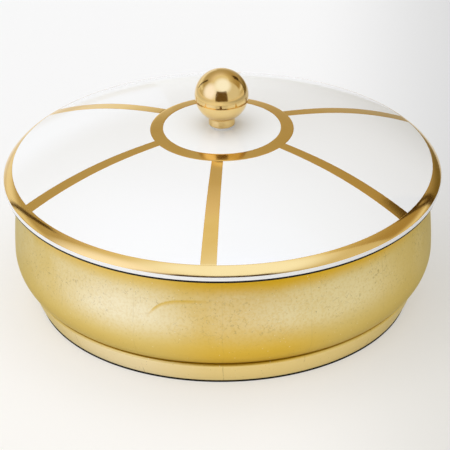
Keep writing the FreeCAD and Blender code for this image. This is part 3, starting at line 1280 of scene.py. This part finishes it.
    def seat_ring(self) -> None:
        """Black ring under the lid, whose edge is the thin dark line round the lid."""
        low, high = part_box("lid_seat_ring")
        inner = self.spigot_inner()
        outer = inner + self.spigot_wall
        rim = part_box("bowl_wall")[1].z
        outline = Turning(inner, low.z)
        outline.line(outer - self.spigot_lead_in, low.z, 2)
        outline.line(outer, low.z + self.spigot_lead_in)
        outline.line(outer, rim, 3)
        outline.line(high.x, rim, 4)
        outline.line(high.x, high.z)
        outline.line(inner, high.z, 5)
        mesh = outline.closed().turned()
        ease_edges(mesh, 0.1 * MM)
        seat = Seat("lid_seat", Body.LID, "lid_seat_ring", "black_lacquered_wood")
        seat.place(mesh, self.finishes.satin.material())

    def band_outline(self, begin: float, end: float) -> Turning:
        """Closed outline of a band between two leans of the dome."""
        outline = self.skin(None, begin, end, self.band_stand)
        return self.skin(outline, end, begin, -self.band_depth).closed()

    def rim_band(self) -> None:
        """Gold band over the shoulder of the lid."""
        end = math.acos((self.white_edge - self.edge_height) / self.edge_round)
        mesh = self.band_outline(self.angle_at(self.rim_band_inner), end).turned()
        ease_edges(mesh, self.band_ease)
        seat = Seat("rim_band", Body.LID, "lid_rim_band", "band_brass")
        seat.place(mesh, self.finishes.rim_band.material())

    def hub_band(self) -> None:
        """Gold ring round the knob."""
        begin, end = self.angle_at(self.hub_inner), self.angle_at(self.hub_outer)
        mesh = self.band_outline(begin, end).turned()
        ease_edges(mesh, self.band_ease)
        seat = Seat("hub_band", Body.LID, "lid_hub_band", "band_brass")
        seat.place(mesh, self.finishes.round_band.material())

    def rib_bands(self) -> None:
        """Six gold ribs that widen from the hub to the rim."""
        ribs = bmesh.new()
        for index in range(self.rib_count):
            heading = math.tau * index / self.rib_count - math.pi / 2
            self.rib(ribs, heading)
        seat = Seat("rib_bands", Body.LID, "lid_rib_bands", "band_brass")
        seat.place(ribs, self.finishes.rib_band.material())

    def rib(self, ribs: bmesh.types.BMesh, heading: float) -> None:
        """Add one rib, cut from a sector of the dome by its two slanted sides.

        Args:
            ribs: Mesh that takes the rib.
            heading: Direction of the rib about the axis, in radians from +X.
        """
        begin, end = self.angle_at(self.hub_outer), self.angle_at(self.rim_band_inner)
        half_sector = math.radians(6.0)
        skin = self.skin(None, begin, end, self.band_stand)
        mesh = skin.swept(heading - half_sector, 2 * half_sector, 24)
        bmesh.ops.recalc_face_normals(mesh, faces=mesh.faces)
        if sum(face.normal.z for face in mesh.faces) < 0:
            bmesh.ops.reverse_faces(mesh, faces=mesh.faces)
        along = Vector((math.cos(heading), math.sin(heading), 0.0))
        across = Vector((-math.sin(heading), math.cos(heading), 0.0))
        slope = (self.rib_at_rim - self.rib_at_hub) / 2 / (self.rim_band_inner - self.hub_outer)
        for side in (-1.0, 1.0):
            bmesh.ops.bisect_plane(
                mesh,
                geom=mesh.verts[:] + mesh.edges[:] + mesh.faces[:],
                plane_co=along * self.hub_outer + across * (side * self.rib_at_hub / 2),
                plane_no=across * side - along * slope,
                clear_outer=True,
            )
        bmesh.ops.solidify(mesh, geom=mesh.faces[:], thickness=self.band_depth)
        ease_edges(mesh, self.band_ease)
        part = bpy.data.meshes.new("rib_part")
        mesh.to_mesh(part)
        mesh.free()
        ribs.from_mesh(part)
        bpy.data.meshes.remove(part)


@dataclass
class Knob:
    """Ball knob on its flared neck, with its pad, washer and screw."""

    finishes: Finishes
    flare: float = 0.6 * MM
    neck_round: float = 0.5 * MM
    hole_radius: float = 2.3 * MM

    def build(self) -> None:
        """Make the ball and the neck, and dress the solids that stay."""
        self.ball()
        self.neck()
        dress_solid("knob_pad", self.finishes.nylon)
        dress_solid("screw_washer", self.finishes.plated)
        dress_solid("knob_screw", self.finishes.plated)

    def ball(self) -> None:
        """Ball with a flat underneath."""
        low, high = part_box("knob_ball")
        radius = high.x
        centre = (0.0, high.z - radius)
        lean = math.acos((low.z - centre[1]) / radius)
        outline = Turning(self.hole_radius, low.z)
        outline.line(radius * math.sin(lean), low.z, 3)
        outline.arc(centre, -lean, 96)
        mesh = outline.turned()
        seat = Seat("ball", Body.LID, "knob_ball", "knob_brass")
        seat.place(mesh, self.finishes.knob.material())

    def neck(self) -> None:
        """Neck that flares to the flat of the ball."""
        low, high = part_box("knob_collar")
        radius = high.x - self.flare
        outline = Turning(self.hole_radius, low.z)
        outline.line(radius - self.neck_round, low.z, 3)
        outline.arc((radius - self.neck_round, low.z + self.neck_round), -math.pi / 2, 6)
        outline.line(radius, high.z - self.flare, 4)
        outline.arc((high.x, high.z - self.flare), math.pi / 2, 8)
        outline.line(self.hole_radius, high.z, 3)
        mesh = outline.closed().turned()
        seat = Seat("neck", Body.LID, "knob_collar", "knob_brass")
        seat.place(mesh, self.finishes.knob.material())


# Studio


@dataclass(frozen=True)
class Glow:
    """Soft round patch of light in the studio round the box, given by its direction."""

    azimuth: float
    elevation: float
    inner: float
    outer: float
    colour: Colour

    def direction(self) -> tuple[float, float, float]:
        """Direction from the box to the patch.

        Returns:
            Unit vector, for azimuth 0 behind the box and positive to the right.
        """
        turn, rise = math.radians(self.azimuth), math.radians(self.elevation)
        level = math.cos(rise)
        return (math.sin(turn) * level, math.cos(turn) * level, math.sin(rise))


@dataclass(frozen=True)
class Screen(Finish):
    """Upright curved screen round the box that only gloss shows, leaning and widening to its head."""

    foot_azimuth: float
    head_azimuth: float
    foot_span: float
    head_span: float
    distance: float
    sill: float
    head: float
    left: Colour
    right: Colour
    left_top: Colour
    right_top: Colour
    haze_height: float = 0.0
    haze: Colour = (0.95, 0.95, 0.95, 1.0)

    def dress(self, nodes: Nodes) -> None:
        """Build a glow that changes from left to right and from foot to head.

        Args:
            nodes: Node tree.
        """
        place = nodes.place()
        height = nodes.part(place, "Z")
        across = nodes.step(nodes.part(place, "X"), -0.2 * self.distance, 0.6 * self.distance)
        up = nodes.step(height, self.sill + 0.2 * (self.head - self.sill), self.head)
        left = nodes.mix(up, self.left, self.left_top)
        colour = nodes.mix(across, left, nodes.mix(up, self.right, self.right_top))
        if self.haze_height > 0.0:
            clear = nodes.step(height, self.sill, self.sill + self.haze_height)
            colour = nodes.mix(clear, self.haze, colour)
        nodes.surface(
            {
                "Base Color": NO_COLOUR,
                "Roughness": 1.0,
                "Specular IOR Level": 0.0,
                "Emission Color": colour,
                "Emission Strength": 1.0,
            }
        )

    def build(self) -> None:
        """Stand the screen round the box."""
        mesh = bmesh.new()
        bmesh.ops.create_grid(mesh, x_segments=32, y_segments=8, size=0.5)
        for vert in mesh.verts:
            rise = vert.co.y + 0.5
            middle = self.foot_azimuth + (self.head_azimuth - self.foot_azimuth) * rise
            span = self.foot_span + (self.head_span - self.foot_span) * rise
            turn = math.radians(middle + vert.co.x * span)
            vert.co = (
                self.distance * math.sin(turn),
                self.distance * math.cos(turn),
                self.sill + (self.head - self.sill) * rise,
            )
        glow = self.material()
        glow.cycles.emission_sampling = "NONE"
        screen = linked(self.name, mesh, glow)
        screen.visible_camera = False
        screen.visible_diffuse = False
        screen.visible_shadow = False
        screen.visible_transmission = False


@dataclass
class Studio:
    """Pale floor, soft light from all round, and screens that only gloss shows."""

    walls: Colour = (0.50, 0.50, 0.50, 1.0)
    shown_walls: Colour = (0.62, 0.57, 0.45, 1.0)
    dark: Colour = (0.15, 0.095, 0.035, 1.0)
    stand: Colour = (0.07, 0.04, 0.01, 1.0)
    floor_radius: float = 8.0

    def build(self) -> None:
        """Set up the floor, the light and the screens."""
        bpy.context.scene.view_settings.view_transform = "Standard"
        self.floor()
        self.light()
        for screen in self.screens():
            screen.build()

    def floor(self) -> None:
        """Round floor under the box."""
        mesh = bmesh.new()
        bmesh.ops.create_circle(mesh, cap_ends=True, radius=self.floor_radius, segments=96)
        linked("floor", mesh, PaleFloor("pale_floor").material())

    def glows(self) -> list[Glow]:
        """Soft lights on the box, in the order in which they cover each other."""
        return [
            Glow(60.0, 25.0, 20.0, 60.0, (0.30, 0.30, 0.30, 1.0)),
            Glow(-120.0, 80.0, 18.0, 56.0, (1.87, 1.87, 1.87, 1.0)),
            Glow(-60.0, 22.0, 20.0, 50.0, (0.75, 0.75, 0.75, 1.0)),
            Glow(-124.0, 28.0, 10.0, 40.0, (0.90, 0.90, 0.90, 1.0)),
            Glow(180.0, 14.0, 16.0, 40.0, (0.90, 0.90, 0.90, 1.0)),
        ]

    def shown_glows(self) -> list[Glow]:
        """Panels that gloss shows, in the order in which they cover each other."""
        return [
            Glow(-10.0, 0.0, 45.0, 65.0, (0.95, 0.95, 0.95, 1.0)),
            Glow(180.0, 0.0, 55.0, 85.0, (0.88, 0.86, 0.80, 1.0)),
            Glow(0.0, 80.0, 20.0, 62.0, (0.88, 0.86, 0.80, 1.0)),
            Glow(-124.0, 27.0, 10.0, 40.0, (1.20, 1.33, 2.15, 1.0)),
            Glow(118.0, 24.0, 14.0, 46.0, (0.78, 0.78, 0.80, 1.0)),
            Glow(165.0, 66.0, 16.0, 42.0, (1.15, 1.36, 2.15, 1.0)),
        ]

    def light(self) -> None:
        """World that lights the box like a tent of soft panels."""
        world = bpy.data.worlds.new("soft_studio")
        world.use_nodes = True
        world.cycles.sampling_method = "NONE"
        bpy.context.scene.world = world
        nodes = Nodes(world.node_tree)
        soft = self.tent(nodes, self.walls, self.glows())
        shown = self.tent(nodes, self.shown_walls, self.shown_glows())
        gloss = nodes.add("ShaderNodeLightPath", {}).outputs["Is Glossy Ray"]
        colour = nodes.mix(gloss, soft, shown)
        background = nodes.add("ShaderNodeBackground", {"Color": colour, "Strength": 1.0})
        nodes.add("ShaderNodeOutputWorld", {"Surface": background.outputs[0]})

    def tent(self, nodes: Nodes, walls: Colour, glows: list[Glow]) -> Socket | Colour:
        """Colour of the tent all round.

        Args:
            nodes: Node tree of the world.
            walls: Colour between the panels.
            glows: Panels, in the order in which they cover each other.

        Returns:
            The colour in each direction.
        """
        way = nodes.add("ShaderNodeTexCoord", {}).outputs["Generated"]
        colour: Socket | Colour = walls
        for glow in glows:
            toward = nodes.add(
                "ShaderNodeVectorMath", {0: way, 1: glow.direction()}, operation="DOT_PRODUCT"
            ).outputs["Value"]
            low, high = math.cos(math.radians(glow.outer)), math.cos(math.radians(glow.inner))
            colour = nodes.mix(nodes.step(toward, low, high), colour, glow.colour)
        return colour

    def screens(self) -> list[Screen]:
        """Dim room behind the box, dark stands at its sides, and the dark behind the camera.

        Returns:
            The screens.
        """
        room = (
            (0.52, 0.45, 0.31, 1.0),
            (0.44, 0.34, 0.17, 1.0),
            (0.86, 0.80, 0.80, 1.0),
            (0.72, 0.66, 0.50, 1.0),
        )
        dark = (self.dark,) * 4
        stand = (self.stand,) * 4
        low = (
            (0.95, 0.93, 0.88, 1.0),
            (0.20, 0.15, 0.05, 1.0),
            (0.50, 0.42, 0.28, 1.0),
            (0.48, 0.40, 0.26, 1.0),
        )
        return [
            Screen("back_screen", 0.0, 0.0, 168.0, 168.0, 3.0, 0.6, 5.8, *room, haze_height=0.8),
            Screen("left_screen", -55.0, -66.0, 3.0, 11.0, 2.0, 0.0, 1.75, *stand),
            Screen("right_screen", 45.0, 42.0, 16.0, 19.0, 2.0, 0.0, 1.78, *stand),
            Screen("right_low_screen", 22.5, 22.5, 67.0, 67.0, 0.5, 0.0, 0.30, *low),
            Screen("right_arc_screen", 62.0, 47.0, 6.0, 4.0, 0.45, 0.0, 0.35, *stand),
            Screen("front_screen", 176.2, 176.2, 52.0, 52.0, 1.2, 0.0, 1.04, *dark),
        ]


@dataclass(frozen=True)
class PhotoCamera:
    """Camera at the photograph's place."""

    azimuth: float = 3.82
    elevation: float = 28.532
    distance: float = 1.3488
    focal_pixels: float = 2920.15
    roll: float = -0.6216
    aim_height: float = 32.57 * MM
    aim_right: float = 0.912 * MM
    sensor: float = 36.0
    near: float = 0.01
    far: float = 50.0

    def build(self) -> None:
        """Make the camera and give it to the scene."""
        turn, rise = math.radians(self.azimuth), math.radians(self.elevation)
        right = Vector((math.cos(turn), math.sin(turn), 0.0))
        level = math.cos(rise)
        back = Vector((math.sin(turn) * level, -math.cos(turn) * level, math.sin(rise)))
        roll = Matrix.Rotation(math.radians(self.roll), 3, back)
        axes = Matrix((roll @ right, roll @ back.cross(right), back)).transposed().to_4x4()
        place = Vector((0.0, 0.0, self.aim_height)) + right * self.aim_right + back * self.distance
        data = bpy.data.cameras.new("photo_camera")
        data.sensor_width = self.sensor
        data.lens = self.focal_pixels * self.sensor / IMAGE_SIZE
        data.clip_start, data.clip_end = self.near, self.far
        camera = bpy.data.objects.new("photo_camera", data)
        camera.matrix_world = Matrix.Translation(place) @ axes
        bpy.context.scene.collection.objects.link(camera)
        bpy.context.scene.camera = camera


def main() -> None:
    """Build the box, the studio and the camera in order."""
    logging.basicConfig(level=logging.INFO, format="%(name)s %(message)s")
    finishes = Finishes()
    Bowl(finishes).build()
    Lid(finishes).build()
    Knob(finishes).build()
    Studio().build()
    PhotoCamera().build()


if __name__ == "__main__":
    main()
